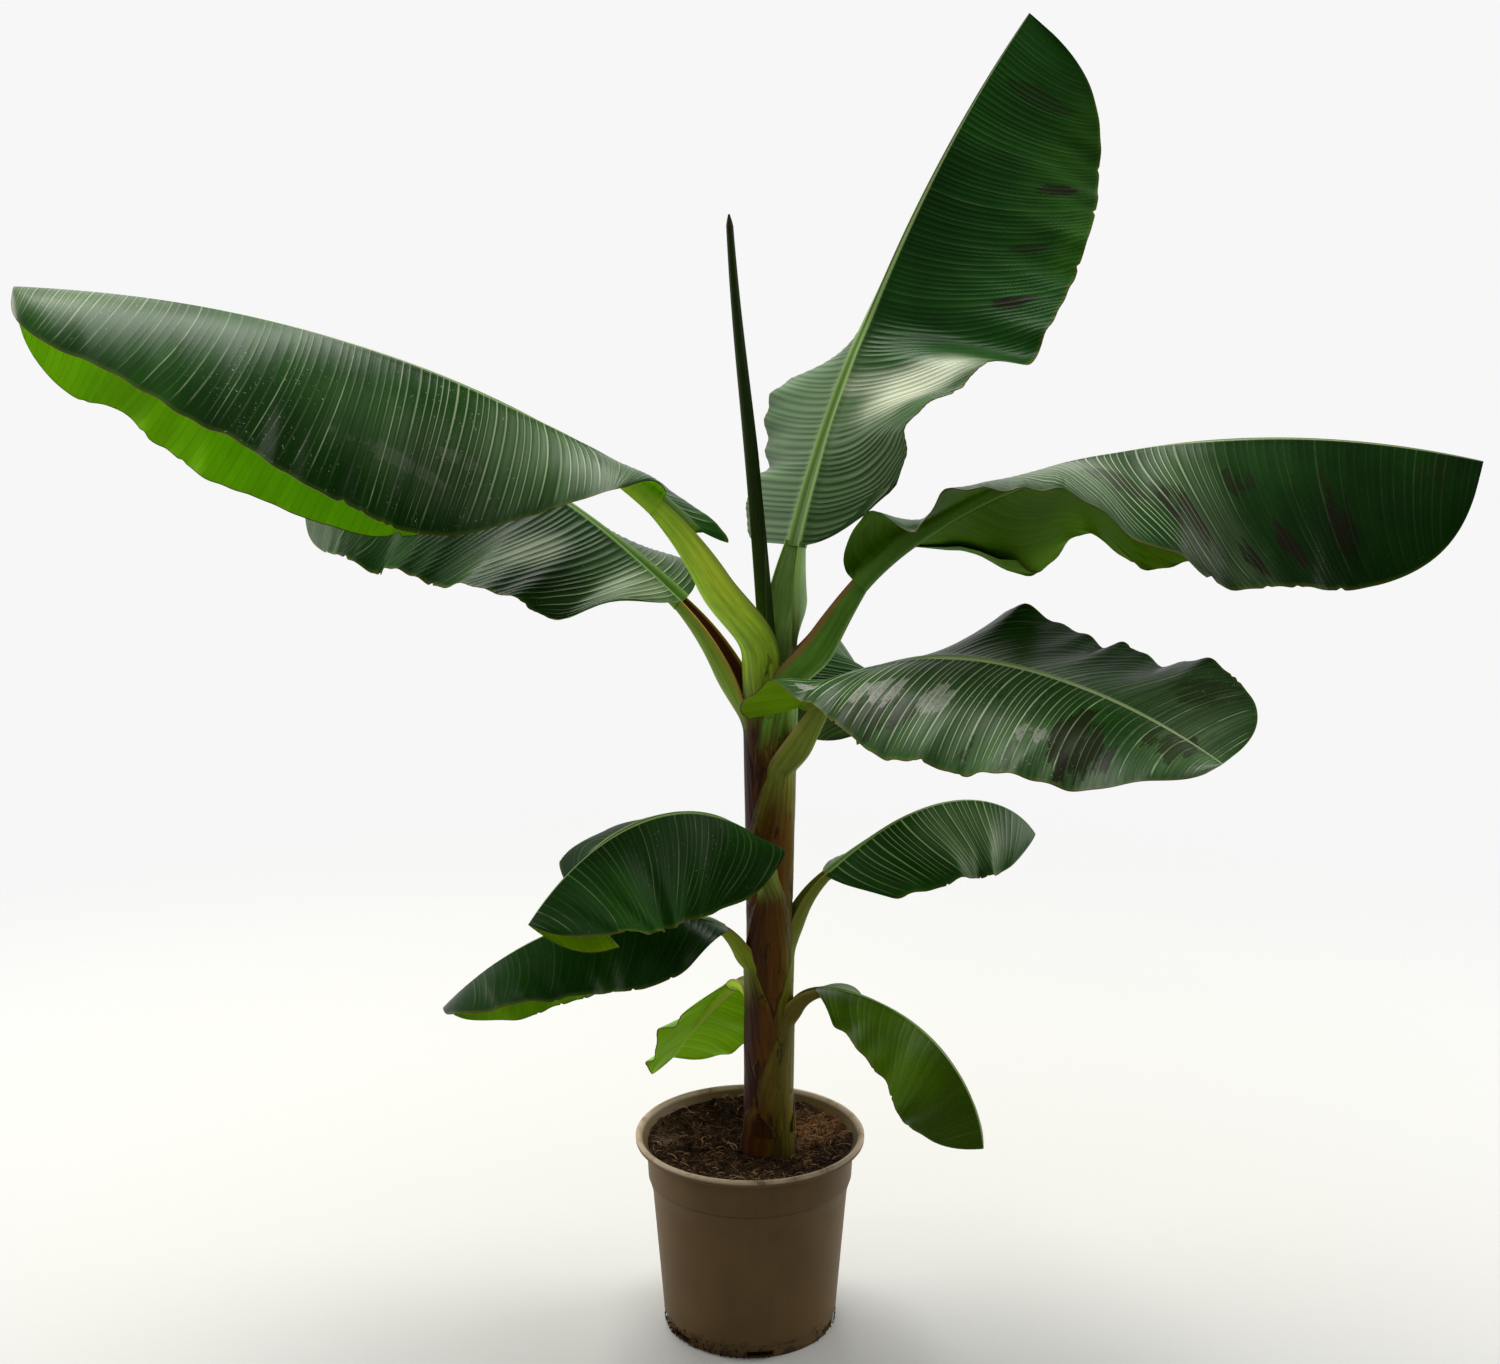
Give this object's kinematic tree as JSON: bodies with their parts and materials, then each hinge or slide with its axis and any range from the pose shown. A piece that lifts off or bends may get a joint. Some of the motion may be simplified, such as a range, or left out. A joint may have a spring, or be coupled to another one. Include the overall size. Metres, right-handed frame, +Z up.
{
  "type": "potted banana plant",
  "caption": "Banana plant in a plain round nursery pot: a sheathed pseudostem with a rolled new leaf and broad arching leaves on channelled petioles, standing on the pot's flat underside.",
  "frame": {"origin": "middle of the pot's flat underside", "axes": "+Z up along the pot's axis, +X to the right and -Y towards the viewer in the picture's view"},
  "size_m": [1.5, 0.7519, 1.5322],
  "materials": {
    "pot": "satin moulded taupe plastic",
    "soil": "loose peat with fibres",
    "stem": "satin brown-green leaf sheaths",
    "spear": "rolled leaf",
    "petiole": "satin yellow-green stalk",
    "blade": "waxy green leaf"
  },
  "bodies": {
    "root": {"pot": "pot", "soil": "soil", "pseudostem": "stem", "spear": "spear", "petiole_top": "petiole", "petiole_upper_left": "petiole", "petiole_upper_right": "petiole", "petiole_second_left": "petiole", "petiole_middle_right": "petiole", "petiole_back": "petiole", "petiole_front_left": "petiole", "petiole_lower_right": "petiole", "petiole_lower_left": "petiole", "petiole_small_back": "petiole", "petiole_lowest_right": "petiole", "blade_top": "blade", "blade_upper_left": "blade", "blade_upper_right": "blade", "blade_second_left": "blade", "blade_middle_right": "blade", "blade_back": "blade", "blade_front_left": "blade", "blade_lower_right": "blade", "blade_lower_left": "blade", "blade_small_back": "blade", "blade_lowest_right": "blade"}
  },
  "joints": []
}
